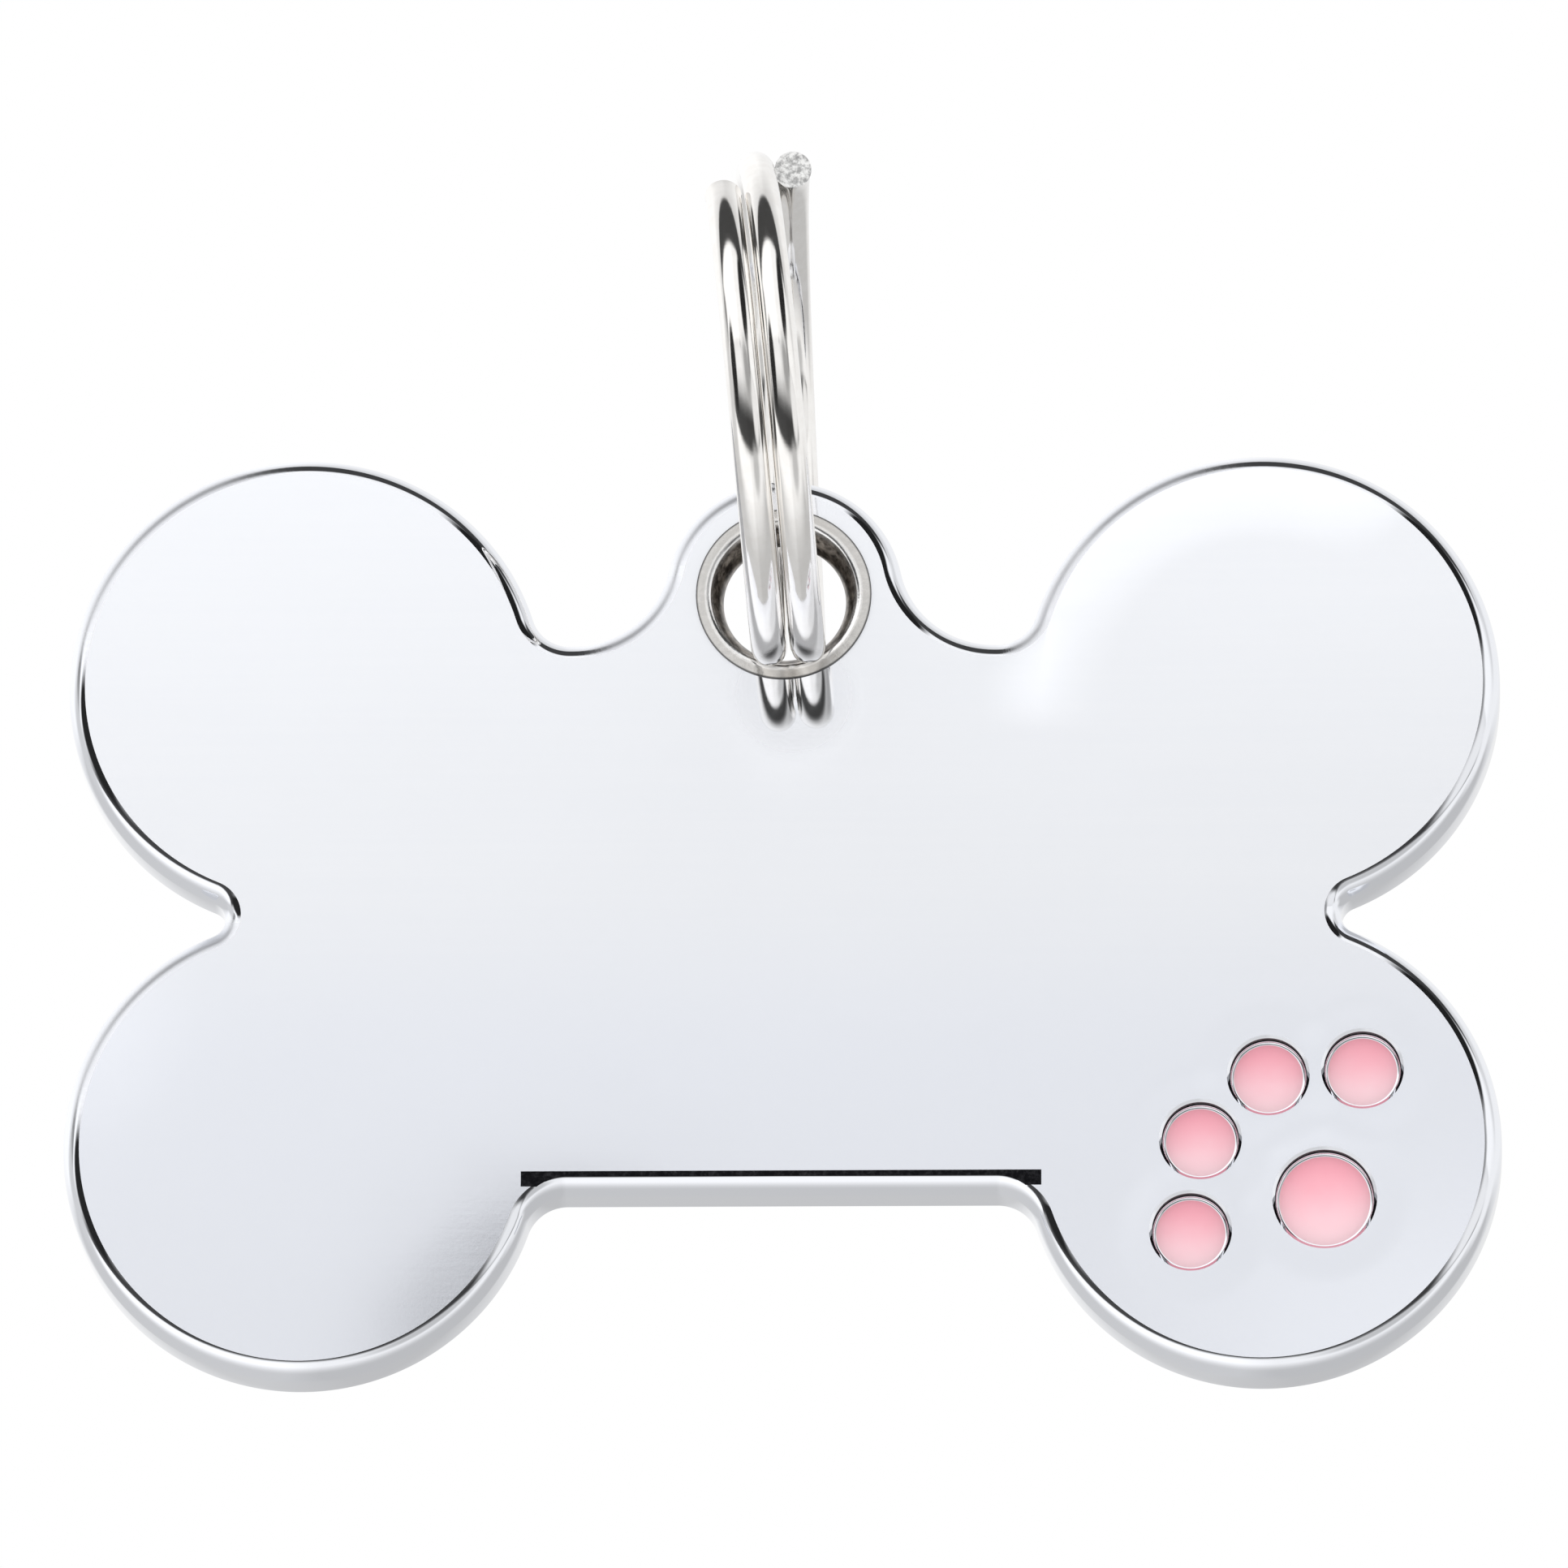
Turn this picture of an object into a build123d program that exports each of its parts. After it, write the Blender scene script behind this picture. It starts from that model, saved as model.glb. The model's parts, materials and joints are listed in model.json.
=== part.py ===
from build123d import *
import math
import os

os.makedirs("parts", exist_ok=True)

# A bone-shaped pet id tag that hangs on a split ring. Millimetres and degrees.
# X runs across the tag, Z is up, and the tag's face looks along -Y.
# The origin is the middle of the split ring, where a collar's loop takes it.

# Split ring: two turns of round wire, side by side
ring_diameter = 15.05  # outside
wire_diameter = 1.04
turn_gap = 0.09
ring_start_angle = 43.0  # where the wire begins, in degrees past the top, going down the front
ring_end_angle = 728.0  # where it ends, just past the top again
ring_lean_angle = 4.3  # the ring's top leans to the left
ring_yaw_angle = 1.7  # and its front turns to the right

# Tag plate: four lobes, a straight waist and a lug
plate_thickness = 2.05
lobe_radius = 6.98
lobe_span = 28.1  # from lobe centre to lobe centre, across the tag
lobe_overlap = 0.03  # the two lobes of one end run into each other by this much
waist_rise = 8.25  # from the tag's middle up to the waist's top edge
waist_drop = 8.41  # from the middle down to the waist's foot
side_notch_radius = 0.55
lug_radius = 3.5
lug_stand = 1.5  # the lug's centre above the waist's top edge
valley_share = 0.766  # the valley's lowest place, from the lug's side to the lobe's
valley_flat = 0.1
edge_radius = 0.8  # round the front
back_edge_radius = 0.2
face_lap = 0.06  # ground off the front once its edge is round, which leaves a crisp edge

# Shallow straight bevel along the foot of the face
bevel_length = 15.2
bevel_angle = 5.0
bevel_rise = 0.125  # it starts this far above the face's own edge
bevel_drop = 0.46

# Eyelet in the lug
hole_drop = 0.1  # the hole's centre below the lug's own
bore_clearance = 0.715  # beside the two wires, at the waist of the throat
throat_flare = 0.4
crest_rise = 0.06  # the rolled crest stands this proud of the plate
crest_round = 0.2
eyelet_wall = 0.55
flange_width = 0.23
flange_edge = 0.05
ring_clearance = 0.26  # from the wire to the eyelet's lips, where these are furthest apart
ring_shift = 0.07  # the ring hangs a little to the right in the eyelet
fit_clearance = 0.02  # a pressed or bonded piece in its seat

# Paw print: one heel pad and an arc of toe pads, in the lower right lobe
heel_radius = 1.45
toe_radius = 1.13
heel_right = 1.81  # the heel's centre from the lobe's
heel_down = 1.69
toe_arc_radius = 4.03
toe_count = 4
toe_first_angle = 74.0
toe_step = 40.0
recess_depth = 0.9
recess_bevel = 0.08
pad_sink = 0.45  # the enamel's rim below the face
pad_dish = 0.08  # its middle below its rim

overrun = 1.0
near = 0.01  # corners this close to a line lie on it

# The wire
wire_radius = wire_diameter / 2
ring_radius = ring_diameter / 2 - wire_radius
turn_pitch = wire_diameter + turn_gap

# The eyelet's lips, in a section through its axis
half_plate = plate_thickness / 2
bore_radius = wire_diameter + turn_gap / 2 + bore_clearance
crest_radius = bore_radius + throat_flare
crest_height = half_plate + crest_rise
barrel_radius = bore_radius + eyelet_wall
flange_radius = barrel_radius + flange_width

# The ring leans forward in the eyelet until its wire all but touches two lips, the lower one in
# front and the upper one behind, and it passes midway between them
lip = math.hypot(crest_height, crest_radius)
lip_angle = math.atan2(crest_height, crest_radius)
pass_angle = math.acos((wire_radius + ring_clearance) / lip) - lip_angle
along_lip = math.cos(pass_angle + lip_angle)
across_lip = math.sin(pass_angle + lip_angle)
hole_reach = 1 / math.sqrt(along_lip**2 / ring_radius**2 + across_lip**2 / (ring_radius**2 - lip**2))
hole_y = hole_reach * math.sin(pass_angle)
hole_z = -hole_reach * math.cos(pass_angle)
ring_plane = Plane.XY.rotated((0, -ring_lean_angle, ring_yaw_angle))
ring_axis = ring_plane.x_dir
hole_x = -(ring_axis.Y * hole_y + ring_axis.Z * hole_z) / ring_axis.X - ring_shift

# The plate's outline
lobe_x = lobe_span / 2
lobe_y = lobe_radius - lobe_overlap / 2
lug_y = waist_rise + lug_stand
valley_x = lug_radius + valley_share * (lobe_x - lobe_radius - lug_radius)
valley_to_lobe = lobe_x - valley_x - valley_flat / 2
top_corner, foot_corner = (
    (valley_to_lobe**2 + past_lobe**2 - lobe_radius**2) / (2 * (lobe_radius - past_lobe))
    for past_lobe in (waist_rise - lobe_y, waist_drop - lobe_y)
)
valley_to_lug = valley_x - valley_flat / 2
lug_root = (valley_to_lug**2 - lug_radius**2 + lug_stand**2) / (2 * (lug_radius + lug_stand))

# From the outline in to the crisp edge of the ground face
edge_set_in = edge_radius - math.sqrt(edge_radius**2 - (edge_radius - face_lap) ** 2)

# Planes: the middle of the plate, its face, and the hole's own
tag_centre = (hole_x, hole_y, hole_z + hole_drop - lug_y)
tag_plane = Plane(origin=tag_centre, x_dir=(1, 0, 0), z_dir=(0, -1, 0))
face_plane = tag_plane.offset(half_plate)
hole_centre = (hole_x, hole_y, hole_z)
hole_plane = Plane(origin=hole_centre, x_dir=(1, 0, 0), z_dir=(0, 0, 1))
hole_axis = Axis(origin=hole_centre, direction=(0, 1, 0))

# The paw print's places on the face, each with its radius
heel_x = lobe_x + heel_right
heel_y = -lobe_y - heel_down
pads = {"heel_pad": (heel_x, heel_y, heel_radius)}
for toe in range(toe_count):
    toe_angle = math.radians(toe_first_angle + toe * toe_step)
    toe_x = heel_x + toe_arc_radius * math.cos(toe_angle)
    toe_y = heel_y + toe_arc_radius * math.sin(toe_angle)
    pads[f"toe_pad_{toe + 1}"] = (toe_x, toe_y, toe_radius)


# Tag plate: the outline is drawn and extruded, its edges are rounded, and the face is ground flat
with BuildPart() as tag_plate:
    with BuildSketch(tag_plane.offset(-half_plate)) as outline:
        with GridLocations(lobe_span, 2 * lobe_y, 2, 2):
            Circle(lobe_radius)
        with Locations((0, (waist_rise - waist_drop) / 2)):
            Rectangle(lobe_span, waist_rise + waist_drop)
        with Locations((0, lug_y)):
            Circle(lug_radius)
        foot = outline.vertices().filter_by_position(Axis.Y, -waist_drop - near, near - waist_drop)
        fillet(foot, foot_corner)
        top = outline.vertices().filter_by_position(Axis.Y, waist_rise - near, waist_rise + near)
        fillet(top.sort_by(Axis.X)[0::3], top_corner)
        top = outline.vertices().filter_by_position(Axis.Y, waist_rise - near, waist_rise + near)
        fillet(top.sort_by(lambda corner: abs(corner.X))[:2], lug_root)
        fillet(outline.vertices().filter_by_position(Axis.Y, -near, near), side_notch_radius)
        with Locations((0, lug_y - hole_drop)):
            Circle(barrel_radius + fit_clearance, mode=Mode.SUBTRACT)
    extrude(amount=plate_thickness + face_lap)
    fillet(tag_plate.faces().sort_by(Axis.Y)[0].outer_wire().edges(), edge_radius)
    fillet(tag_plate.faces().sort_by(Axis.Y)[-1].outer_wire().edges(), back_edge_radius)
    split(bisect_by=face_plane, keep=Keep.BOTTOM)
    # Recesses for the enamel, with a small bevel at each rim
    with BuildSketch(face_plane):
        for pad_x, pad_y, pad_radius in pads.values():
            with Locations((pad_x, pad_y)):
                Circle(pad_radius)
    extrude(amount=-recess_depth, mode=Mode.SUBTRACT)
    front = tag_plate.faces().sort_by(Axis.Y)[0]
    rims = [rim for rim in front.inner_wires() if rim.center().Z < hole_z - barrel_radius]
    chamfer([edge for rim in rims for edge in rim.edges()], recess_bevel)
    # The bevel along the foot of the face, cut with square ends
    bevel_origin = face_plane.from_local_coords((0, bevel_rise + edge_set_in - waist_drop, 0))
    with BuildSketch(Plane(origin=bevel_origin, x_dir=(0, 1, 0), z_dir=(1, 0, 0))):
        bevel_depth = bevel_drop * math.tan(math.radians(bevel_angle))
        Polygon(
            (0, 0), (bevel_depth, -bevel_drop), (-overrun, -bevel_drop), (-overrun, 0), align=None
        )
    extrude(amount=bevel_length / 2, both=True, mode=Mode.SUBTRACT)
tag_plate.part.label = "tag_plate"
export_step(tag_plate.part, "parts/tag_plate.step")

# Eyelet: a flared throat between two rolled flanges, turned about the hole's axis
with BuildPart() as eyelet:
    with BuildSketch(hole_plane) as section:
        with BuildLine():
            crest = (crest_radius, crest_height)
            foot = (crest_radius, -crest_height)
            ThreePointArc(foot, (bore_radius, 0), crest)
            Polyline(
                crest,
                (flange_radius, half_plate + flange_edge),
                (flange_radius, half_plate),
                (barrel_radius, half_plate),
                (barrel_radius, -half_plate),
                (flange_radius, -half_plate),
                (flange_radius, -half_plate - flange_edge),
                foot,
            )
        make_face()
        rolls = section.vertices().sort_by(lambda corner: abs(corner.Y))[-2:]
        fillet(rolls, crest_round)
    revolve(axis=hole_axis)
eyelet.part.label = "eyelet"
export_step(eyelet.part, "parts/eyelet.step")

# Paw pads: enamel discs bonded in their recesses, each with a dished top
for name, (pad_x, pad_y, pad_radius) in pads.items():
    pad_centre = face_plane.from_local_coords((pad_x, pad_y, -recess_depth))
    with BuildPart() as pad:
        with BuildSketch(Plane(origin=pad_centre, x_dir=(1, 0, 0), z_dir=(0, 0, 1))):
            with BuildLine():
                rim = (pad_radius - fit_clearance, pad_sink - recess_depth)
                middle = (0, pad_sink + pad_dish - recess_depth)
                Polyline(middle, (0, 0), (rim[0], 0), rim)
                TangentArc(middle, rim, tangent=(1, 0))
            make_face()
        revolve(axis=Axis(origin=pad_centre, direction=(0, 1, 0)))
    pad.part.label = name
    export_step(pad.part, f"parts/{name}.step")


# Split ring: a helix of quarter-turn spans, each drawn as two arcs that meet smoothly. Its turns lie
# evenly about the eyelet's axis where they pass through it.
middle_turn = 2 * math.pi + pass_angle


def wire_point(angle):
    turn = math.radians(angle)
    along = turn_pitch * (turn - middle_turn) / (2 * math.pi)
    return ring_plane.from_local_coords(
        Vector(along, -ring_radius * math.sin(turn), ring_radius * math.cos(turn))
    )


def wire_heading(angle):
    turn = math.radians(angle)
    climb = turn_pitch / (2 * math.pi)
    return ring_plane.from_local_coords(
        Vector(climb, -ring_radius * math.cos(turn), -ring_radius * math.sin(turn))
    ).normalized()


wire_sweep = ring_end_angle - ring_start_angle
span_count = math.ceil(wire_sweep / 90)
span_angles = [ring_start_angle + wire_sweep * step / span_count for step in range(span_count + 1)]

with BuildPart() as split_ring:
    with BuildLine() as wire_path:
        for first, last in zip(span_angles, span_angles[1:]):
            start, end = wire_point(first), wire_point(last)
            leaving, arriving = wire_heading(first), wire_heading(last)
            chord = end - start
            lead = chord.dot(leaving + arriving)
            turning = 1 - leaving.dot(arriving)
            reach = (math.sqrt(lead**2 + 2 * turning * chord.dot(chord)) - lead) / (2 * turning)
            joint = (start + end + (leaving - arriving) * reach) / 2
            TangentArc(start, joint, tangent=leaving)
            TangentArc(end, joint, tangent=arriving * -1)
    with BuildSketch(Plane(origin=wire_point(ring_start_angle), z_dir=wire_heading(ring_start_angle))):
        Circle(wire_radius)
    sweep(path=wire_path.wire())
split_ring.part.label = "split_ring"
export_step(split_ring.part, "parts/split_ring.step")

# The least gap between the ring's two turns, measured on points of the wire's middle line
line_points = [wire_point(angle) for angle in range(int(ring_start_angle), int(ring_end_angle) + 1)]
half_turn = 180
least_gap = min(
    (there - here).length
    for place, here in enumerate(line_points)
    for there in line_points[place + half_turn :]
)
print(f"split ring: least gap between turns {least_gap - wire_diameter:.3f} mm")
print(f"hole centre {hole_x:.5f}, {hole_y:.5f}, {hole_z:.5f}")
print(f"wire passes at {math.degrees(pass_angle):.2f} degrees")
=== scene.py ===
import json
import math

import bmesh
import bpy
from mathutils import Matrix, Vector, noise


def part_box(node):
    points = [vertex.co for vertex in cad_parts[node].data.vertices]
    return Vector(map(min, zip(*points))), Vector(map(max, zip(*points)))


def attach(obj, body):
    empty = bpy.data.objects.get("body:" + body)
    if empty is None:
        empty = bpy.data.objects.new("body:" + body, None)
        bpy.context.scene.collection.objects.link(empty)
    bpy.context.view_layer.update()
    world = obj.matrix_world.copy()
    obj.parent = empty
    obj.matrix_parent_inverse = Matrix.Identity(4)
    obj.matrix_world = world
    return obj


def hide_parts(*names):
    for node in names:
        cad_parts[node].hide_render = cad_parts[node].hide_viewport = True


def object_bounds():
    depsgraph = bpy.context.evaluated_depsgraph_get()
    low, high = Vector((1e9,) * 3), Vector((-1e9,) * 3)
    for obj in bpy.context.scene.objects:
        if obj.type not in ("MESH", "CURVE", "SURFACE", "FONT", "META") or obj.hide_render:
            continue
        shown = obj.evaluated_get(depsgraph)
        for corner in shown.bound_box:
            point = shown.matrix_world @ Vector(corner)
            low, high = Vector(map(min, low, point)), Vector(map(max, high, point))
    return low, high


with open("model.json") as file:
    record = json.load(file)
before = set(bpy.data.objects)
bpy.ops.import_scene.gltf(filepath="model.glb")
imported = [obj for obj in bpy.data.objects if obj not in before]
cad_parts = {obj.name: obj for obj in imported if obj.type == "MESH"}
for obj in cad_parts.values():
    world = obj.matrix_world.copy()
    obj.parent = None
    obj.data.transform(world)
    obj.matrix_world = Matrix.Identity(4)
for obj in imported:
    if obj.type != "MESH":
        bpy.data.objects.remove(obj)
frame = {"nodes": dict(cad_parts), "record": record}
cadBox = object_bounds()
scene = bpy.context.scene
scene.view_settings.view_transform = "Standard"
mm = 0.001
joinReach, tinyEdge = 1e-7, 1e-8  # in metres: what counts as the same place, and as no length
frontLimit = -0.05  # a face whose normal's y is below this looks to the front
print("frame loaded:", ", ".join(sorted(frame["nodes"])))


# Shader values: plain sums on sockets, and one maker for every other node
class Value:
    def __init__(self, tree, socket=None):
        self.tree = tree
        self.socket = socket

    def make(self, kind, settings=None, inputs=None, output=0):
        node = self.tree.nodes.new("ShaderNode" + kind)
        for name, setting in (settings or {}).items():
            if name == "stops":
                ramp = node.color_ramp.elements
                while len(ramp) < len(setting):
                    ramp.new(0.5)
                for stop, (place, colour) in zip(ramp, setting):
                    stop.position = place
                    stop.color = (*colour, 1)
            else:
                setattr(node, name, setting)
        for name, given in (inputs or {}).items():
            if isinstance(given, Value):
                self.tree.links.new(given.socket, node.inputs[name])
            else:
                node.inputs[name].default_value = given
        return Value(self.tree, node.outputs[output] if node.outputs else None)

    def sums(self, operation, first, second=0.0):
        return self.make("Math", {"operation": operation}, {0: first, 1: second})

    def __add__(self, other):
        return self.sums("ADD", self, other)

    def __sub__(self, other):
        return self.sums("SUBTRACT", self, other)

    def __rsub__(self, other):
        return self.sums("SUBTRACT", other, self)

    def __mul__(self, other):
        return self.sums("MULTIPLY", self, other)

    def __truediv__(self, other):
        return self.sums("DIVIDE", self, other)

    def __rtruediv__(self, other):
        return self.sums("DIVIDE", other, self)

    def __pow__(self, other):
        return self.sums("POWER", self, other)

    __radd__ = __add__
    __rmul__ = __mul__

    def smooth(self, low, high, start=0.0, end=1.0):
        return self.make(
            "MapRange",
            {"interpolation_type": "SMOOTHSTEP"},
            {"Value": self, "From Min": low, "From Max": high, "To Min": start, "To Max": end},
        )

    def parts(self):
        node = self.make("SeparateXYZ", {}, {0: self}).socket.node
        return [Value(self.tree, output) for output in node.outputs]

    def blend(self, first, second):
        return self.make("Mix", {"data_type": "RGBA"}, {0: self, 6: first, 7: second}, 2)

    def vector(self, operation, other, output=0):
        return self.make("VectorMath", {"operation": operation}, {0: self, 1: other}, output)

    def grain(self, scale, detail, roughness):
        sockets = {"Vector": self, "Scale": scale, "Detail": detail, "Roughness": roughness}
        return self.make("TexNoise", {}, sockets)

    def bump(self, strength, depth):
        return self.make("Bump", {}, {"Strength": strength, "Distance": depth, "Height": self})

    def objectPlace(self):
        return self.make("TexCoord", {}, {}, 3)

    def layer(self, name):
        return self.make("Attribute", {"attribute_name": name}, {}, 2)


def startFinish(name):
    material = bpy.data.materials.new(name)
    material.use_nodes = True
    material.node_tree.nodes.clear()
    return material, Value(material.node_tree)


def endFinish(start, inputs):
    shader = start.make("BsdfPrincipled", {}, inputs)
    start.make("OutputMaterial", {}, {"Surface": shader})


# Studio: a white room for the camera, and pale panels with dark flags for the metal to reflect
studio = dict(
    plainLevel=1.2,  # what lights the enamel and the satin share of the face
    # levels by pitch: 0 is the front, 90 overhead, -90 underfoot, and the turn starts behind
    pitchStart=-120.0,
    levels=[
        (-104, 0.57), (-92, 0.58), (-80, 0.67), (-68, 0.84), (-58, 1.0), (-40, 1.0),
        (-37, 0.85), (-33, 0.06), (-20, 0.05), (-15, 0.15), (-10, 0.45), (-3, 0.75),
        (3, 0.87), (9, 0.84), (13.5, 0.815), (14.0, 0.85), (14.15, 0.898), (14.4, 0.91),
        (14.8, 0.908), (15.05, 0.914), (15.5, 0.94), (15.75, 0.95), (16.15, 1.05), (60, 1.05),
        (97, 0.72), (108, 0.82), (124, 0.97), (160, 0.97), (168, 0.9), (177, 0.77),
        (184, 0.66), (190, 0.57),
    ],
    # the level falls from left to right near the middle, and far out each side has its own
    lean=-0.014, leanLimit=5.0, leanMiddle=-1.9,
    poleStart=66.0, poleEnd=82.0, leftPole=0.65, rightPole=0.9,
    floorDrop=0.9, floorSize=8.0, floorColour=(0.9, 0.9, 0.9, 1), floorRoughness=0.9,
    # each flag: pitch, side to the right, half sizes, softness, level
    flags=[
        (80.5, -6, 15, 60, 0.14, 0.05),  # arch overhead
        (48, 36, 26, 15, 0.2, 0.015),  # upper right
        (4, -56, 27, 17, 0.22, 0.02),  # left
        (60, -72, 24, 10, 0.3, 0.25),  # upper left
        (6, 26, 14, 16, 0.5, 0.36),  # right
        (15, 43, 15, 6, 0.5, 0.3),  # narrow one at the right
        (-12, 58, 22, 17, 0.35, 0.85),  # far right
        (-44, 32, 12, 18, 0.5, 0.55),  # lower right
        (14.4, -3.9, 0.24, 0.24, 0.7, 1.0),  # small bright panel in front
        (13.44, -2.5, 0.4, 0.4, 0.6, 0.4),  # small dark one below it
        (13.55, -0.1, 0.4, 0.75, 0.7, 0.9),  # small pale one beside that
    ],
    # the panel that the ground face mirrors has more contrast, but for a window at the bright spot
    facePanel=(14.64, -1.93, 2.6, 4.0, 0.25), spotWindow=(15.22, -1.893, 0.14, 0.145, 0.3),
    faceGain=1.667, faceLoss=0.766,
)

world = bpy.data.worlds.new("studioRoom")
scene.world = world
world.use_nodes = True
world.node_tree.nodes.clear()
air = Value(world.node_tree)
across, away, up = air.make("TexCoord").parts()
turnDegrees = 180 / math.pi
pitchStart = studio["pitchStart"]
pitch = air.sums("ARCTAN2", up, 0.0 - away) * turnDegrees
pitch = pitch + 360 * air.sums("LESS_THAN", pitch, pitchStart)
side = air.sums("ARCSINE", across) * turnDegrees
stops = [((place - pitchStart) / 360, (shade, shade, shade)) for place, shade in studio["levels"]]
level = air.make("ValToRGB", {"stops": stops}, {0: (pitch - pitchStart) / 360})
offSide = air.sums("MAXIMUM", side - studio["leanMiddle"], -studio["leanLimit"])
offSide = air.sums("MINIMUM", offSide, studio["leanLimit"])
level = level * (1.0 + offSide * studio["lean"])


def flagMask(flagPitch, flagSide, tall, wide, soft):
    reach = (((pitch - flagPitch) / tall) ** 2.0 + ((side - flagSide) / wide) ** 2.0) ** 0.5
    return reach.smooth(1 + soft, 1 - soft)


for *flagPlace, flagLevel in studio["flags"]:
    level = level + flagMask(*flagPlace) * (flagLevel - level)
for way, poleLevel in ((-1, studio["leftPole"]), (1, studio["rightPole"])):
    mask = (side * way).smooth(studio["poleStart"], studio["poleEnd"])
    level = level + mask * (poleLevel - level)
mask = flagMask(*studio["facePanel"]) * (1.0 - flagMask(*studio["spotWindow"]))
level = level + mask * (level * studio["faceGain"] - studio["faceLoss"] - level)
rays = air.make("LightPath").socket.node.outputs
seen = Value(world.node_tree, rays["Is Camera Ray"])
glossy = Value(world.node_tree, rays["Is Glossy Ray"])
plain = studio["plainLevel"]
roomColour = seen.blend(glossy.blend((plain, plain, plain, 1), level), (1, 1, 1, 1))
roomLight = air.make("Background", {}, {"Color": roomColour, "Strength": 1.0})
air.make("OutputWorld", {}, {"Surface": roomLight})

floorMesh = bpy.data.meshes.new("studioFloor")
floorForm = bmesh.new()
bmesh.ops.create_grid(floorForm, x_segments=1, y_segments=1, size=studio["floorSize"] / 2)
bmesh.ops.translate(floorForm, verts=floorForm.verts, vec=(0, 0, cadBox[0].z - studio["floorDrop"]))
floorForm.to_mesh(floorMesh)
floorForm.free()
studioFloor = bpy.data.objects.new("studioFloor", floorMesh)
scene.collection.objects.link(studioFloor)
studioFloor.visible_glossy = False
floorFinish, start = startFinish("paleFloor")
endFinish(start, {"Base Color": studio["floorColour"], "Roughness": studio["floorRoughness"]})
floorMesh.materials.append(floorFinish)
print("studio ready")

# Camera: a long lens from a little below the tag
view = dict(
    azimuth=2.0, elevation=-15.0, roll=0.265, distance=0.6327,
    lens=496.25, sensor=36, clipNear=0.01, clipFar=20, right=0.037 * mm, rise=3.753 * mm,
)
plateLow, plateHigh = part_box("tag_plate")
plateMiddle = (plateLow + plateHigh) / 2
faceMiddle = Vector((plateMiddle.x, plateLow.y, plateMiddle.z))
azimuth, elevation = math.radians(view["azimuth"]), math.radians(view["elevation"])
toCamera = Vector(
    (math.sin(azimuth) * math.cos(elevation), -math.cos(azimuth) * math.cos(elevation), math.sin(elevation))
)
aimTurn = (-toCamera).to_track_quat("-Z", "Y").to_matrix()
aim = faceMiddle + aimTurn @ Vector((view["right"], view["rise"], 0))
lens = bpy.data.cameras.new("tagCamera")
lens.lens = view["lens"]
lens.sensor_width = view["sensor"]
lens.clip_start, lens.clip_end = view["clipNear"], view["clipFar"]
camera = bpy.data.objects.new("tagCamera", lens)
scene.collection.objects.link(camera)
camera.location = aim + toCamera * view["distance"]
camera.rotation_euler = (aimTurn @ Matrix.Rotation(math.radians(view["roll"]), 3, "Z")).to_euler()
scene.camera = camera
print("camera ready")


# Drawing with operators: a point runs straight or turns about a middle, and leaves a line behind it
frontWards, downWards = Vector((0, -1, 0)), Vector((0, 0, -1))


def startPoint(form, spot):
    return bmesh.ops.create_vert(form, co=spot)["vert"][0]


def runPoint(form, point, step):
    moved = bmesh.ops.extrude_vert_indiv(form, verts=[point])["verts"]
    bmesh.ops.translate(form, verts=moved, vec=step)
    return moved[0]


def turnPoint(form, point, middle, degrees, axis, stepDegrees=3.0):
    steps = max(2, round(abs(degrees) / stepDegrees))
    turned = bmesh.ops.spin(
        form, geom=[point], cent=middle, axis=axis, angle=math.radians(degrees), steps=steps
    )
    return turned["geom_last"][0]


def turnAbout(form, middle, axis, sides):
    bmesh.ops.spin(
        form, geom=form.verts[:] + form.edges[:], cent=middle, axis=axis,
        angle=2 * math.pi, steps=sides, use_merge=True,
    )
    bmesh.ops.remove_doubles(form, verts=form.verts, dist=joinReach)
    bmesh.ops.dissolve_degenerate(form, edges=form.edges, dist=tinyEdge)
    bmesh.ops.recalc_face_normals(form, faces=form.faces)


def pullFaces(form, faces, step):
    grown = bmesh.ops.extrude_face_region(form, geom=faces)["geom"]
    corners = [item for item in grown if isinstance(item, bmesh.types.BMVert)]
    bmesh.ops.translate(form, verts=corners, vec=step)


def markSharp(form, limit):
    for face in form.faces:
        face.smooth = True
    for edge in form.edges:
        if len(edge.link_faces) == 2:
            first, second = edge.link_faces
            apart = first.material_index != second.material_index
            edge.smooth = not (apart or edge.calc_face_angle(0) > math.radians(limit))


def makeMesh(name, form, finishes):
    mesh = bpy.data.meshes.new(name)
    for finish in finishes:
        mesh.materials.append(finish)
    form.to_mesh(mesh)
    form.free()
    return mesh


def placePiece(name, mesh, node, body):
    piece = bpy.data.objects.new(name, mesh)
    scene.collection.objects.link(piece)
    flat = piece.modifiers.new("flatFaces", "WEIGHTED_NORMAL")
    flat.keep_sharp = True
    flat.weight = 90
    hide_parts(node)
    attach(piece, body)
    print("made", name, "with", len(mesh.polygons), "faces")


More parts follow.
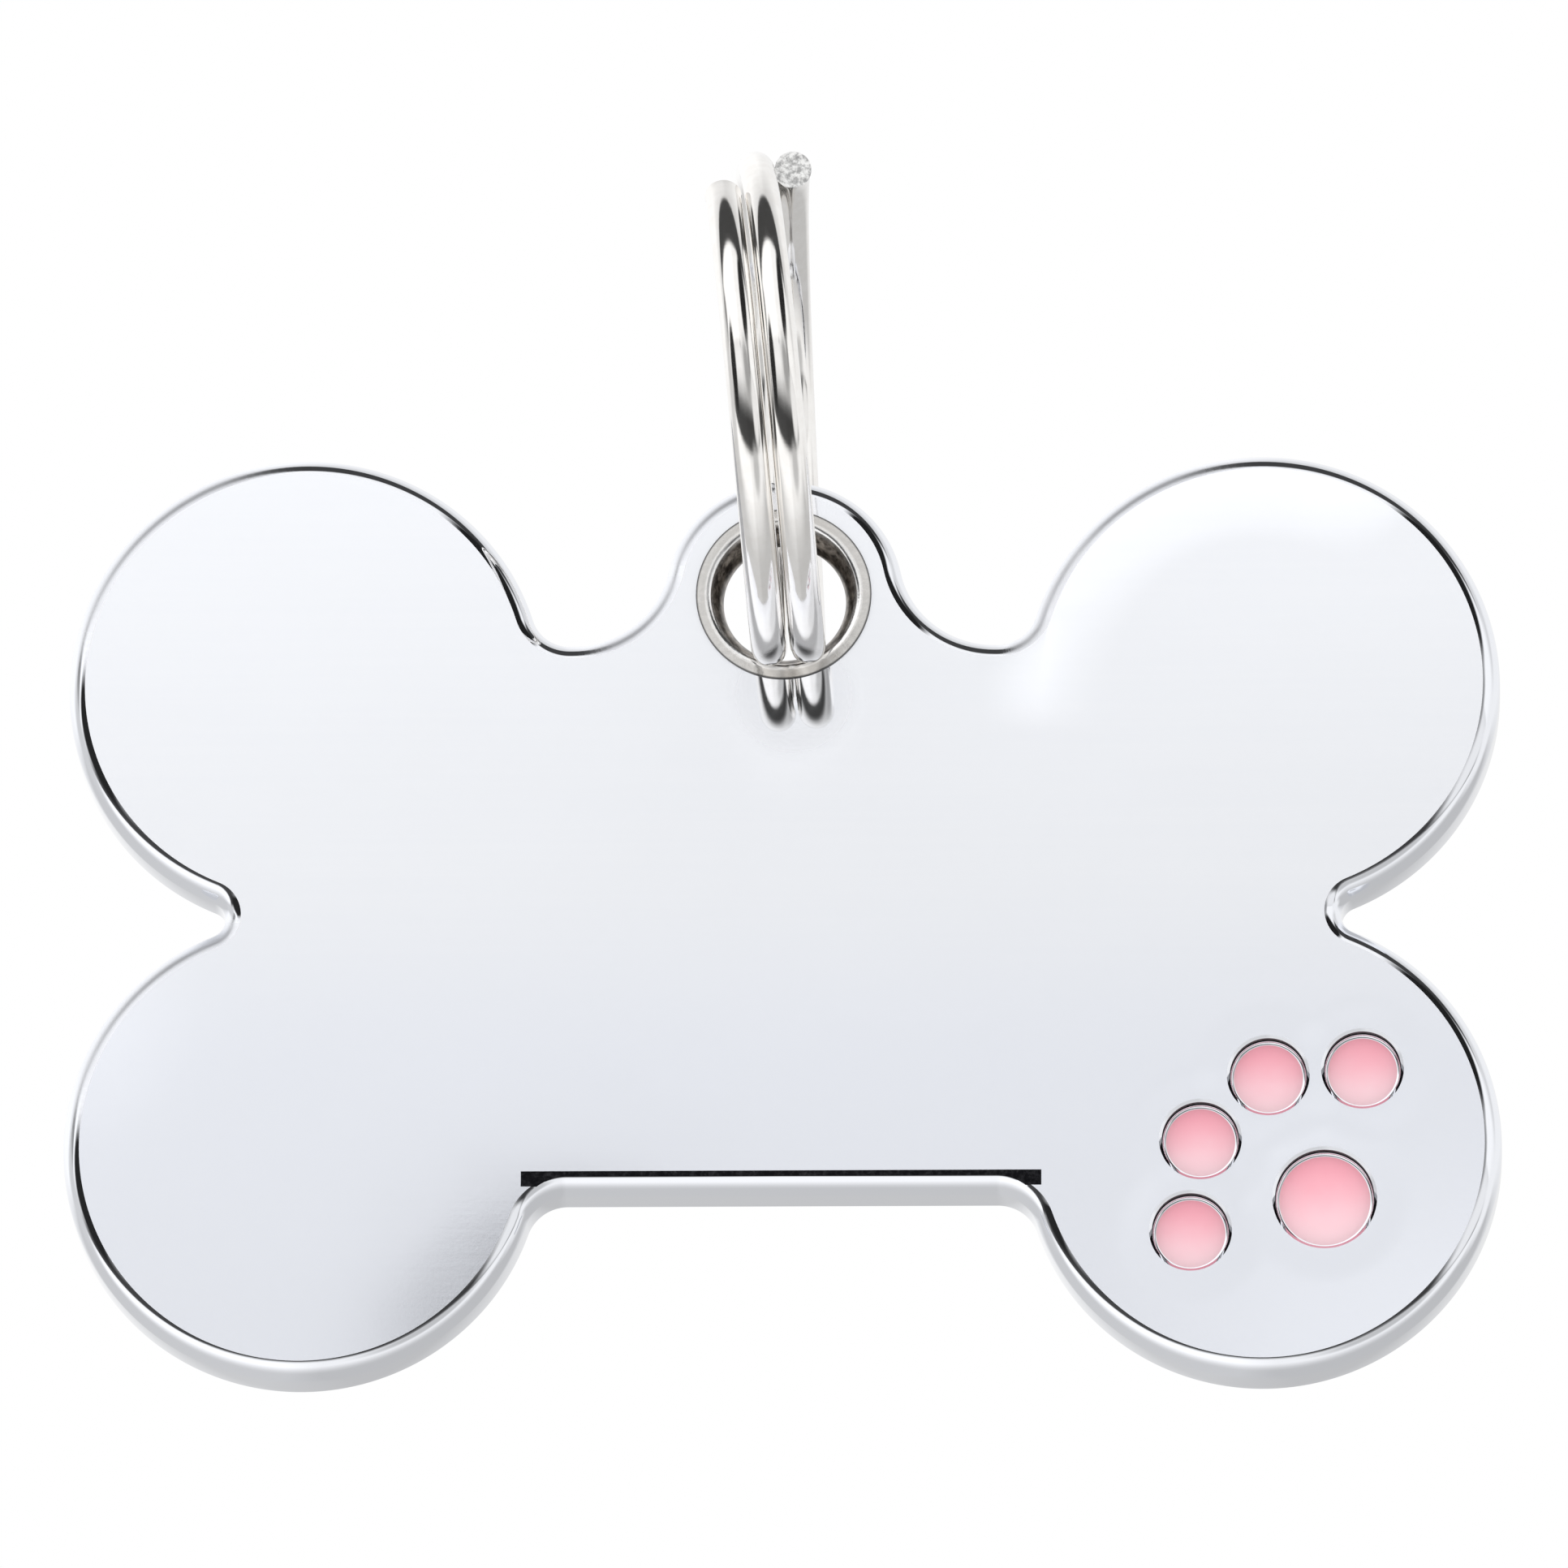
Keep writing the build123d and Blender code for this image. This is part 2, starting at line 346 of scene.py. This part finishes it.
# Plate: the bone outline, extruded, rounded and ground flat on its face
plate = dict(
    lobeRadius=6.98 * mm, waistRise=8.25 * mm, waistDrop=8.41 * mm,
    valleyFlat=0.1 * mm, valleyAcross=6.2346 * mm, lugRadius=3.5 * mm,
    notchRadius=0.55 * mm, holeRadius=2.37 * mm, holeDrop=0.1 * mm, lobeStep=2.0, notchStep=6.0,
    edgeRadius=0.754 * mm, edgeSteps=14, backEdge=0.2 * mm, backSteps=10, faceLap=0.0455 * mm,
    bevelLength=15.2 * mm, bevelRise=0.125 * mm, bevelDrop=0.46 * mm, bevelAngle=5.0, bevelLift=0.004 * mm,
    recessBevel=0.08 * mm, recessDepth=0.9 * mm, recessFit=0.02 * mm, recessSides=84,
    overrun=1.0 * mm, lip=0.1 * mm, sharpAngle=11.0, wallLimit=0.1,
    # grains of the finish: scale, detail, roughness
    speckleGrain=(9000.0, 3.0, 0.6), polishGrain=(110.0, 2.0, 0.5),
    streakGrain=(1.0, 4.0, 0.65), streakScale=(90.0, 90.0, 5200.0),
    # relief in mm: the polish is wavy, and the face sinks a little at each pad
    waveHeight=0.004, streakHeight=0.00005, speckleHeight=0.00006, sinkReach=1.2, sinkDepth=0.003,
    # and it falls away at the upper left of the upper right lobe
    crownStart=4.3, crownReach=2.2, crownGain=0.010,
    crownTurn=(0.1, 0.75), crownRise=(-1.5, 2.0), crownEnd=(8.5, 6.6),
    # the metal, and a painted darker, bluer reflection toward the foot of the ground face
    streakFade=(0.3, 0.7), dimMetal=(0.936, 0.953, 0.996, 1), paleMetal=(0.944, 0.959, 1.0, 1),
    paintedFootReflectionFade=(1.5, -5.0), paintedFootReflection=(0.908, 0.932, 0.998, 1),
    roughness=0.015, polishRoughness=0.015, speckleRoughness=0.01,
    # the ground face is part satin, all but a bright spot below the eyelet, in mm
    groundLimit=-0.999, satinShare=0.4, brightSpot=(0.45, -7.75), brightFade=(1.12, 2.08),
    # the rim is less polished where it faces up and to the left, clear of the pads
    rimLimit=0.2, dullFacing=(-0.707, 0.707), dullStart=0.72, dullFull=0.92, dullRoughness=0.34,
    padClear=1.9 * mm,
    # the straight bevel below the waist is darkened: painted near-black shade, mottled; the recess walls
    # take it too
    bevelGrain=(5200.0, 4.0, 0.7), bevelFade=(0.4, 0.8),
    bevelDark=(0.010, 0.010, 0.012, 1), bevelPale=(0.05, 0.05, 0.055, 1),
)
plateHalf = (plateHigh - plateLow) / 2
lobeAcross = plateHalf.x - plate["lobeRadius"]
lobeUp = plateHalf.z - plate["lobeRadius"]

padNodes = ["heel_pad", "toe_pad_1", "toe_pad_2", "toe_pad_3", "toe_pad_4"]
polishedFace, start = startFinish("polishedPlate")
place = start.objectPlace()
speckle = place.grain(*plate["speckleGrain"])
polish = place.grain(*plate["polishGrain"])
streakPlace = start.make("Mapping", {}, {"Vector": place, "Scale": plate["streakScale"]})
streaks = streakPlace.grain(*plate["streakGrain"])
fromMiddle = place.vector("SUBTRACT", plateMiddle)
spotAcross, _, spotUp = fromMiddle.vector("DIVIDE", (mm, mm, mm)).parts()
lobeRight = spotAcross - lobeAcross / mm
lobeHigh = spotUp - lobeUp / mm
fromLobe = (lobeRight * lobeRight + lobeHigh * lobeHigh) ** 0.5
leftward = ((lobeHigh - lobeRight) / fromLobe).smooth(*plate["crownTurn"])
leftward = leftward * lobeHigh.smooth(*plate["crownRise"]) * fromLobe.smooth(*plate["crownEnd"])
fall = start.sums("MAXIMUM", fromLobe - plate["crownStart"], 0.0)
fall = start.sums("MINIMUM", fall, plate["crownReach"])
relief = (
    polish * plate["waveHeight"] + streaks * plate["streakHeight"] + speckle * plate["speckleHeight"]
    - fall * fall * leftward * (plate["crownGain"] / 2)
)
for node in padNodes:
    low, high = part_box(node)
    padSpot = (low + high) / 2
    padSpot.y = plateLow.y
    fromPad = place.vector("DISTANCE", padSpot, 1)
    padEdge = (high.x - low.x) / 2
    relief = relief - fromPad.smooth(padEdge + plate["sinkReach"] * mm, padEdge, 0.0, plate["sinkDepth"])
groundFace = start.layer("groundFace")
plateColour = streaks.smooth(*plate["streakFade"]).blend(plate["dimMetal"], plate["paleMetal"])
# painted reflection: the ground face turns darker and bluer towards its foot
paintedFootReflectionShare = spotUp.smooth(*plate["paintedFootReflectionFade"]) * groundFace
plateColour = paintedFootReflectionShare.blend(plateColour, plate["paintedFootReflection"])
brightRight = spotAcross + (plateMiddle.x / mm - plate["brightSpot"][0])
brightHigh = spotUp + (plateMiddle.z / mm - plate["brightSpot"][1])
fromBright = (brightRight * brightRight + brightHigh * brightHigh) ** 0.5
satin = fromBright.smooth(*plate["brightFade"], 0.0, plate["satinShare"])
plateRoughness = (
    plate["roughness"] + polish * plate["polishRoughness"] + speckle * plate["speckleRoughness"]
    + start.layer("dullRim") * plate["dullRoughness"]
)
endFinish(
    start,
    {
        "Base Color": plateColour,
        "Metallic": 1.0 - satin * groundFace,
        "Roughness": plateRoughness,
        "Normal": relief.bump(1.0, mm),
    },
)

# painted shade: near-black mottled metal on the straight bevel and the recess walls
paintedShadeFinish, start = startFinish("paintedShadeFinish")
place = start.objectPlace()
mottle = place.grain(*plate["bevelGrain"])
paintedShadeColour = mottle.smooth(*plate["bevelFade"]).blend(plate["bevelDark"], plate["bevelPale"])
endFinish(start, {"Base Color": paintedShadeColour, "Metallic": 1.0, "Roughness": 0.3 + mottle * 0.2})

eyeletLow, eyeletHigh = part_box("eyelet")
holeMiddle = (eyeletLow + eyeletHigh) / 2


def cornerRadius(run, rise, radius):
    return (run**2 + rise**2 - radius**2) / (2 * (radius - rise))


def drawBone(depth):
    rise, drop = plate["waistRise"], plate["waistDrop"]
    lobe, lobeStep = plate["lobeRadius"], plate["lobeStep"]
    lugUp = holeMiddle.z - plateMiddle.z + plate["holeDrop"]
    cornerAcross = plate["valleyAcross"] + plate["valleyFlat"] / 2
    rootAcross = plate["valleyAcross"] - plate["valleyFlat"] / 2
    run = lobeAcross - cornerAcross
    top = cornerRadius(run, rise - lobeUp, lobe)
    foot = cornerRadius(run, drop - lobeUp, lobe)
    root = cornerRadius(rootAcross, rise - lugUp, plate["lugRadius"])
    notchAcross = lobeAcross + math.sqrt((lobe + plate["notchRadius"]) ** 2 - lobeUp**2)
    topTurn = 90 - math.degrees(math.atan2(rise + top - lobeUp, run))
    footTurn = 90 - math.degrees(math.atan2(drop + foot - lobeUp, run))
    notchTurn = math.degrees(math.atan2(lobeUp, notchAcross - lobeAcross))
    rootTurn = 90 - math.degrees(math.atan2(rise + root - lugUp, rootAcross))

    def at(x, z):
        return Vector((plateMiddle.x + x, depth, plateMiddle.z + z))

    form = bmesh.new()
    point = startPoint(form, at(0, -drop))
    point = runPoint(form, point, (cornerAcross, 0, 0))
    point = turnPoint(form, point, at(cornerAcross, -drop - foot), -footTurn, frontWards)
    point = turnPoint(form, point, at(lobeAcross, -lobeUp), 90 + notchTurn + footTurn, frontWards, lobeStep)
    point = turnPoint(form, point, at(notchAcross, 0), -2 * notchTurn, frontWards, plate["notchStep"])
    point = turnPoint(form, point, at(lobeAcross, lobeUp), 90 + notchTurn + topTurn, frontWards, lobeStep)
    point = turnPoint(form, point, at(cornerAcross, rise + top), -topTurn, frontWards)
    point = runPoint(form, point, (rootAcross - cornerAcross, 0, 0))
    point = turnPoint(form, point, at(rootAcross, rise + root), -rootTurn, frontWards)
    turnPoint(form, point, at(0, lugUp), rootTurn, frontWards)
    toMiddle = Matrix.Translation((-plateMiddle.x, 0, 0))
    bmesh.ops.mirror(form, geom=form.verts[:] + form.edges[:], matrix=toMiddle, axis="X")
    bmesh.ops.remove_doubles(form, verts=form.verts, dist=joinReach)
    bmesh.ops.contextual_create(form, geom=form.edges[:])
    return form


def cutRound(form, middle, radius, depth, bevel):
    # a bore with a bevelled mouth, drawn as half a section and turned
    bore = bmesh.new()
    lip = plate["lip"]
    mouth = Vector((middle.x, plateLow.y - lip, middle.z))
    flare = lip + bevel if bevel else 0
    point = startPoint(bore, mouth)
    point = runPoint(bore, point, (radius + flare, 0, 0))
    if flare:
        point = runPoint(bore, point, (-flare, flare, 0))
    point = runPoint(bore, point, (0, depth + lip - flare, 0))
    runPoint(bore, point, (-radius, 0, 0))
    turnAbout(bore, mouth, frontWards, plate["recessSides"])
    for face in bore.faces:
        # the bore's walls in a recess take the painted shade finish
        face.material_index = int(bevel > 0 and abs(face.normal.y) < plate["wallLimit"])
    part = makeMesh("bore", bore, [])
    form.from_mesh(part)
    bpy.data.meshes.remove(part)


bone = drawBone(plateLow.y - plate["faceLap"])
thickness = plateHigh.y - plateLow.y + plate["faceLap"]
pullFaces(bone, bone.faces[:], (0, thickness, 0))
bmesh.ops.recalc_face_normals(bone, faces=bone.faces)
rims = [
    (plateLow.y - plate["faceLap"], plate["edgeRadius"], plate["edgeSteps"]),
    (plateHigh.y, plate["backEdge"], plate["backSteps"]),
]
for depth, radius, steps in rims:
    rim = [edge for edge in bone.edges if all(abs(vert.co.y - depth) < joinReach for vert in edge.verts)]
    bmesh.ops.bevel(
        bone, geom=rim, offset=radius, offset_type="OFFSET", segments=steps, profile=0.5, affect="EDGES",
        material=-1, clamp_overlap=False, loop_slide=False,
    )
bmesh.ops.bisect_plane(
    bone, geom=bone.verts[:] + bone.edges[:] + bone.faces[:], dist=tinyEdge,
    plane_co=(0, plateLow.y, 0), plane_no=frontWards, clear_outer=True,
)
bmesh.ops.contextual_create(bone, geom=[edge for edge in bone.edges if edge.is_boundary])
bmesh.ops.recalc_face_normals(bone, faces=bone.faces)

# One cutter: the enamel's recesses, the lug's hole, and the wedge that leaves the straight bevel
cutter = bmesh.new()
for node in padNodes:
    low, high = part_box(node)
    radius = (high.x - low.x) / 2 + plate["recessFit"]
    cutRound(cutter, (low + high) / 2, radius, plate["recessDepth"], plate["recessBevel"])
cutRound(cutter, holeMiddle, plate["holeRadius"], plateHigh.y - plateLow.y + plate["overrun"], 0)
roundFaces = len(cutter.faces)
radius, lap = plate["edgeRadius"], plate["faceLap"]
setIn = radius - math.sqrt(radius**2 - (radius - lap) ** 2)
startUp = plateMiddle.z - plate["waistDrop"] + setIn + plate["bevelRise"] + plate["bevelLift"]
bevelStart = Vector((plateMiddle.x - plate["bevelLength"] / 2, plateLow.y, startUp))
slope = Vector((0, plate["bevelDrop"] * math.tan(math.radians(plate["bevelAngle"])), -plate["bevelDrop"]))
first = startPoint(cutter, bevelStart - slope)
last = runPoint(cutter, first, slope * 2)
last = runPoint(cutter, last, (0, -2 * slope.y - plate["overrun"], 0))
last = runPoint(cutter, last, (0, 0, -2 * slope.z))
loop = [edge for edge in cutter.edges if not edge.link_faces]
loop.append(bmesh.ops.contextual_create(cutter, geom=[first, last])["edges"][0])
wedge = bmesh.ops.contextual_create(cutter, geom=loop)["faces"]
pullFaces(cutter, wedge, (plate["bevelLength"], 0, 0))
cutter.faces.ensure_lookup_table()
# the wedge's faces carry the painted shade onto the straight bevel
for face in cutter.faces[roundFaces:]:
    face.material_index = 1
bmesh.ops.recalc_face_normals(cutter, faces=cutter.faces)

blank = bpy.data.objects.new("plateBlank", makeMesh("plateBlank", bone, [polishedFace]))
tools = bpy.data.objects.new("plateTools", makeMesh("plateTools", cutter, [polishedFace, paintedShadeFinish]))
for item in (blank, tools):
    scene.collection.objects.link(item)
cut = blank.modifiers.new("cut", "BOOLEAN")
cut.operation = "DIFFERENCE"
cut.solver = "EXACT"
cut.material_mode = "TRANSFER"
cut.object = tools
cutMesh = bpy.data.meshes.new_from_object(blank.evaluated_get(bpy.context.evaluated_depsgraph_get()))
bpy.data.objects.remove(tools)
bpy.data.objects.remove(blank)
bone = bmesh.new()
bone.from_mesh(cutMesh)
bmesh.ops.dissolve_degenerate(bone, edges=bone.edges, dist=tinyEdge)
markSharp(bone, plate["sharpAngle"])
dullLayer = bone.faces.layers.float.new("dullRim")
groundLayer = bone.faces.layers.float.new("groundFace")
padSpots = [(low + high) / 2 for low, high in map(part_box, padNodes)]
for face in bone.faces:
    face[groundLayer] = float(face.normal.y < plate["groundLimit"])
    lean = Vector((face.normal.x, face.normal.z))
    spot = face.calc_center_median()
    clear = min((spot - padSpot).length for padSpot in padSpots) > plate["padClear"]
    if clear and lean.length > plate["rimLimit"] and face.normal.y < frontLimit:
        facing = lean.normalized().dot(Vector(plate["dullFacing"]))
        share = (facing - plate["dullStart"]) / (plate["dullFull"] - plate["dullStart"])
        face[dullLayer] = min(1.0, max(0.0, share))
openEdges = sum(edge.is_boundary for edge in bone.edges)
bone.to_mesh(cutMesh)
bone.free()
cutMesh.name = "bonePlate"
print("plate cut, open edges:", openEdges, "finishes:", [finish.name for finish in cutMesh.materials])
placePiece("bonePlate", cutMesh, "tag_plate", "tag")

# Eyelet: a flared throat between two rolled flanges, turned about the hole
eyelet = dict(
    bore=1.80 * mm, crest=2.20 * mm, wall=0.55 * mm, flange=2.58 * mm, flangeEdge=0.05 * mm,
    crestRound=0.1 * mm, roundSteps=6, sides=128, sharpAngle=16.0,
    # tones by distance from the axis in mm: a dark throat, the bright metal on the crest, and painted shade
    # on the grey flange and its dark outline
    throatFade=(2.18, 2.04), flangeFade=(2.28, 2.36), outlineFade=(2.51, 2.57),
    crestColour=(0.95, 0.945, 0.94, 1), paintedFlangeShade=(0.7, 0.685, 0.665, 1),
    paintedOutlineShade=(0.12, 0.12, 0.12, 1), pittingFade=(0.35, 0.7),
    throatDark=(0.05, 0.042, 0.036, 1), throatPale=(0.42, 0.38, 0.34, 1),
    pittingGrain=(3800.0, 4.0, 0.65), cloudGrain=(1300.0, 2.0, 0.5), bumpDepth=0.03 * mm,
)
eyeletMetal, start = startFinish("eyeletMetal")
place = start.objectPlace()
fromHole = place.vector("SUBTRACT", holeMiddle).vector("MULTIPLY", (1 / mm, 0, 1 / mm))
outwards = fromHole.vector("LENGTH", (0, 0, 0), 1)
throat = outwards.smooth(*eyelet["throatFade"])
flangeShare = outwards.smooth(*eyelet["flangeFade"])
outline = outwards.smooth(*eyelet["outlineFade"])
pitting = place.grain(*eyelet["pittingGrain"])
clouds = place.grain(*eyelet["cloudGrain"])
throatColour = pitting.smooth(*eyelet["pittingFade"]).blend(eyelet["throatDark"], eyelet["throatPale"])
# painted shade: the flange is grey and its outline near black, against the bright crest
paintedFlangeShade = outline.blend(eyelet["paintedFlangeShade"], eyelet["paintedOutlineShade"])
rimColour = flangeShare.blend(eyelet["crestColour"], paintedFlangeShade)
endFinish(
    start,
    {
        "Base Color": throat.blend(rimColour, throatColour),
        "Metallic": 1.0,
        "Roughness": 0.14 + throat * 0.12 + pitting * 0.1,
        "Normal": (pitting + clouds).bump(0.25, eyelet["bumpDepth"]),
    },
)

form = bmesh.new()
halfEyelet = (eyeletHigh.y - eyeletLow.y) / 2
halfPlate = (plateHigh.y - plateLow.y) / 2
flare = eyelet["crest"] - eyelet["bore"]
throatRadius = (flare**2 + halfEyelet**2) / (2 * flare)
throatTurn = 2 * math.degrees(math.asin(halfEyelet / throatRadius))
throatMiddle = holeMiddle + Vector((eyelet["bore"] + throatRadius, 0, 0))
firstPoint = startPoint(form, holeMiddle + Vector((eyelet["crest"], -halfEyelet, 0)))
point = turnPoint(form, firstPoint, throatMiddle, throatTurn, downWards)
edgeStep = halfEyelet - halfPlate - eyelet["flangeEdge"]
barrel = eyelet["bore"] + eyelet["wall"]
point = runPoint(form, point, (eyelet["flange"] - eyelet["crest"], -edgeStep, 0))
point = runPoint(form, point, (0, -eyelet["flangeEdge"], 0))
point = runPoint(form, point, (barrel - eyelet["flange"], 0, 0))
point = runPoint(form, point, (0, -2 * halfPlate, 0))
point = runPoint(form, point, (eyelet["flange"] - barrel, 0, 0))
point = runPoint(form, point, (0, -eyelet["flangeEdge"], 0))
bmesh.ops.contextual_create(form, geom=[point, firstPoint])
turnAbout(form, holeMiddle, frontWards, eyelet["sides"])
crests = [
    edge for edge in form.edges
    if all(abs(abs(vert.co.y - holeMiddle.y) - halfEyelet) < joinReach for vert in edge.verts)
]
bmesh.ops.bevel(
    form, geom=crests, offset=eyelet["crestRound"], offset_type="OFFSET", segments=eyelet["roundSteps"],
    profile=0.5, affect="EDGES", material=-1, clamp_overlap=False,
)
markSharp(form, eyelet["sharpAngle"])
placePiece("lugEyelet", makeMesh("lugEyelet", form, [eyeletMetal]), "eyelet", "tag")

# Paw pads: enamel that dips to its middle and climbs a little up the recess wall
pads = dict(
    dish=0.08 * mm, dishStep=0.7, climb=0.1 * mm, climbTurn=80, climbStep=10, floorDepth=0.9 * mm,
    sides=72, sharpAngle=30,
    # painted light and shade: pale at the foot of each pad, deeper pink at its top; and a little cloudy
    shadeAndCloudFade=(-0.7, 1.2), cloudTone=0.6, litFootPink=(1.0, 0.68, 0.735, 1), shadedTopPink=(1.0, 0.40, 0.49, 1),
    cloudGrain=(700.0, 3.0, 0.6), fleckGrain=(9000.0, 2.0, 0.5), bumpDepth=0.03 * mm,
)
pinkEnamel, start = startFinish("pinkEnamel")
place = start.objectPlace()
cloud = place.grain(*pads["cloudGrain"])
fleck = place.grain(*pads["fleckGrain"])
# painted shade deepens the pink towards each pad's top, mixed with the enamel's cloudiness
shadeAndCloud = (start.layer("upPad") + cloud * pads["cloudTone"]).smooth(*pads["shadeAndCloudFade"])
endFinish(
    start,
    {
        "Base Color": shadeAndCloud.blend(pads["litFootPink"], pads["shadedTopPink"]),
        "Roughness": 0.16 + fleck * 0.08,
        "Normal": (cloud + fleck * 0.2).bump(0.03, pads["bumpDepth"]),
        "IOR": 1.52,
        "Coat Weight": 0.3,
        "Coat Roughness": 0.05,
    },
)
for node in padNodes:
    low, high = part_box(node)
    middle = (low + high) / 2
    radius = (high.x - low.x) / 2
    flatRadius = radius - pads["climb"]
    dishRadius = (flatRadius**2 + pads["dish"] ** 2) / (2 * pads["dish"])
    form = bmesh.new()
    bottom = Vector((middle.x, low.y + pads["dish"], middle.z))
    point = startPoint(form, bottom)
    dishTurn = math.degrees(math.asin(flatRadius / dishRadius))
    dishMiddle = bottom - Vector((0, dishRadius, 0))
    point = turnPoint(form, point, dishMiddle, dishTurn, downWards, pads["dishStep"])
    climbMiddle = point.co - Vector((0, pads["climb"], 0))
    point = turnPoint(form, point, climbMiddle, pads["climbTurn"], downWards, pads["climbStep"])
    point = runPoint(form, point, (middle.x + radius - point.co.x, 0, 0))
    point = runPoint(form, point, (0, plateLow.y + pads["floorDepth"] - point.co.y, 0))
    runPoint(form, point, (-radius, 0, 0))
    turnAbout(form, middle, frontWards, pads["sides"])
    upLayer = form.verts.layers.float.new("upPad")
    for vert in form.verts:
        vert[upLayer] = (vert.co.z - middle.z) / radius
    for face in form.faces:
        spot = face.calc_center_median() - middle
        climbs = face.normal.y < frontLimit and math.hypot(spot.x, spot.z) > flatRadius
        face.material_index = int(climbs)
    markSharp(form, pads["sharpAngle"])
    name = node.replace("_pad", "Enamel").replace("_", "")
    placePiece(name, makeMesh(name, form, [pinkEnamel, polishedFace]), node, "tag")

# Split ring: round wire wound twice about the ring's axis, with rough cut ends
ring = dict(
    middleRadius=7.005 * mm, wire=1.04 * mm, pitch=1.13 * mm,
    startAngle=43.0, endAngle=728.0, passAngle=45.21, wireSides=48, stepDegrees=1.5, sharpAngle=35,
    # torn ends: a burr round the cut, and steps inwards that are roughened by noise
    burr=0.02 * mm, cutSteps=7, cutShare=2.2, cutRough=0.05 * mm, cutGrain=4200, cutShift=(0.1, 0.2, 0.3),
    # finish: grains by scale, detail, roughness
    drawnGrain=(2600.0, 3.0, 0.6), waveGrain=(420.0, 2.0, 0.5), drawnFade=(0.3, 0.7), bumpDepth=0.03 * mm,
    dimWire=(0.95, 0.93, 0.905, 1), paleWire=(0.99, 0.975, 0.955, 1),
    tearGrain=(5200.0, 4.0, 0.7), crystalScale=5200.0, tearFade=(0.36, 0.62), tearDepth=0.06 * mm,
    tearDark=(0.4, 0.4, 0.4, 1), tearPale=(1.0, 1.0, 0.99, 1),
)
ringWire, start = startFinish("ringWire")
place = start.objectPlace()
drawn = place.grain(*ring["drawnGrain"])
waves = place.grain(*ring["waveGrain"])
ringColour = drawn.smooth(*ring["drawnFade"]).blend(ring["dimWire"], ring["paleWire"])
ringBump = (waves + drawn * 0.25).bump(0.12, ring["bumpDepth"])
endFinish(
    start,
    {"Base Color": ringColour, "Metallic": 1.0, "Roughness": 0.06 + drawn * 0.06, "Normal": ringBump},
)

cutEnd, start = startFinish("cutWireEnd")
place = start.objectPlace()
crystals = start.make("TexVoronoi", {"feature": "F1"}, {"Vector": place, "Scale": ring["crystalScale"]})
tear = place.grain(*ring["tearGrain"])
cutColour = tear.smooth(*ring["tearFade"]).blend(ring["tearDark"], ring["tearPale"])
cutBump = (crystals + tear).bump(0.6, ring["tearDepth"])
endFinish(start, {"Base Color": cutColour, "Metallic": 0.25, "Roughness": 0.35, "Normal": cutBump})

ringAxis = Vector(frame["record"]["mounts"][0]["axis"]).normalized()
ringTop = Vector((-ringAxis.z, 0, ringAxis.x)).normalized()
ringTurn = Matrix((ringAxis, ringTop.cross(ringAxis), ringTop)).transposed().to_4x4()
form = bmesh.new()
sideOn = Matrix.Translation((0, 0, ring["middleRadius"])) @ Matrix.Rotation(math.radians(90), 4, "X")
bmesh.ops.create_circle(form, segments=ring["wireSides"], radius=ring["wire"] / 2, matrix=sideOn)
startTurn = Matrix.Rotation(math.radians(ring["startAngle"]), 3, "X")
bmesh.ops.rotate(form, verts=form.verts, matrix=startTurn)
sweep = ring["endAngle"] - ring["startAngle"]
begin = ring["startAngle"] - 360 - ring["passAngle"]
bmesh.ops.translate(form, verts=form.verts, vec=(ring["pitch"] * begin / 360, 0, 0))
ringSteps = round(sweep / ring["stepDegrees"])
bmesh.ops.spin(
    form, geom=form.verts[:] + form.edges[:], axis=(1, 0, 0), angle=math.radians(sweep), steps=ringSteps,
    dvec=(ring["pitch"] * sweep / 360 / ringSteps, 0, 0),
)
bmesh.ops.recalc_face_normals(form, faces=form.faces)
bmesh.ops.holes_fill(form, edges=[edge for edge in form.edges if edge.is_boundary], sides=0)
caps = [face for face in form.faces if len(face.verts) == ring["wireSides"]]
print("ring wound, ends:", len(caps))
burrGrowth = 1 + 2 * ring["burr"] / ring["wire"]
stripWidth = ring["wire"] / ring["cutShare"] / ring["cutSteps"]
for cap in caps:
    normal = cap.normal.copy()
    toCentre = Matrix.Translation(-cap.calc_center_median())
    bmesh.ops.scale(form, verts=cap.verts, vec=[burrGrowth] * 3, space=toCentre)
    cap.material_index = 1
    torn = set()
    for _ in range(ring["cutSteps"]):
        strips = bmesh.ops.inset_region(form, faces=[cap], thickness=stripWidth)["faces"]
        for strip in strips:
            strip.material_index = 1
        torn.update(cap.verts)
    bmesh.ops.poke(form, faces=[cap])
    for vert in torn:
        spot = (vert.co + Vector(ring["cutShift"])) * ring["cutGrain"]
        vert.co += normal * ring["cutRough"] * noise.noise(spot)
markSharp(form, ring["sharpAngle"])
bmesh.ops.transform(form, matrix=ringTurn, verts=form.verts)
placePiece("splitRing", makeMesh("splitRing", form, [ringWire, cutEnd]), "split_ring", "ring")

print("pieces done")
